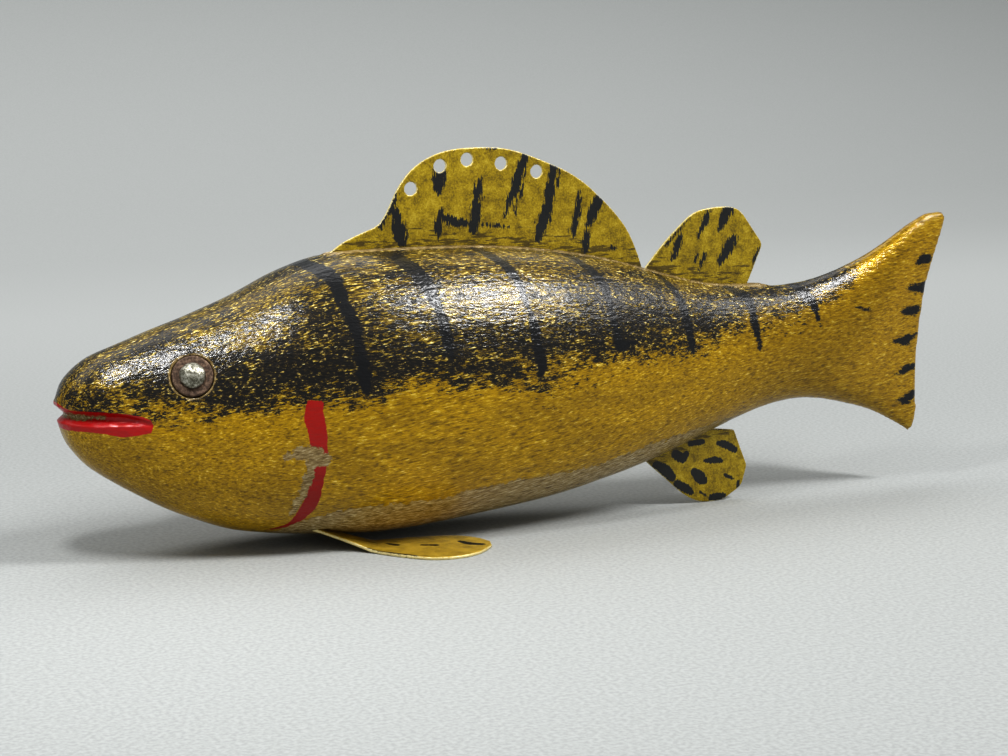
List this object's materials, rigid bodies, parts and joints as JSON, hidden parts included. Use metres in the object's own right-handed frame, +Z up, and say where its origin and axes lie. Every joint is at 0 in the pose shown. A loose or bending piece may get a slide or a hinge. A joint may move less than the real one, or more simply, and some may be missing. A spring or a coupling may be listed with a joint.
{
  "type": "fish decoy",
  "caption": "Carved wooden perch decoy with sheet metal fins let into its body, washer and tack eyes, and line holes under the edge of its back fin; it stands on its lower fins.",
  "frame": {"origin": "centre of the bounding box's underside, where the decoy stands on a table", "axes": "+X towards the tail, -X towards the nose, -Y out of the left flank, +Z up"},
  "size_m": [0.2158, 0.0572, 0.0833],
  "materials": {
    "painted_wood": "gold paint with a black sponged back, bars and red mouth and gill strokes, under glossy varnish",
    "painted_tin": "gold paint with black dry-brushed strokes, satin",
    "washer_steel": "browned, lightly rusted",
    "tack_steel": "worn bright, dented"
  },
  "bodies": {
    "root": {"body": "painted_wood", "dorsal_fin_front": "painted_tin", "dorsal_fin_rear": "painted_tin", "anal_fin": "painted_tin", "pectoral_fin_left": "painted_tin", "pectoral_fin_right": "painted_tin", "eye_washer_left": "washer_steel", "eye_washer_right": "washer_steel", "eye_tack_left": "tack_steel", "eye_tack_right": "tack_steel"}
  },
  "joints": []
}
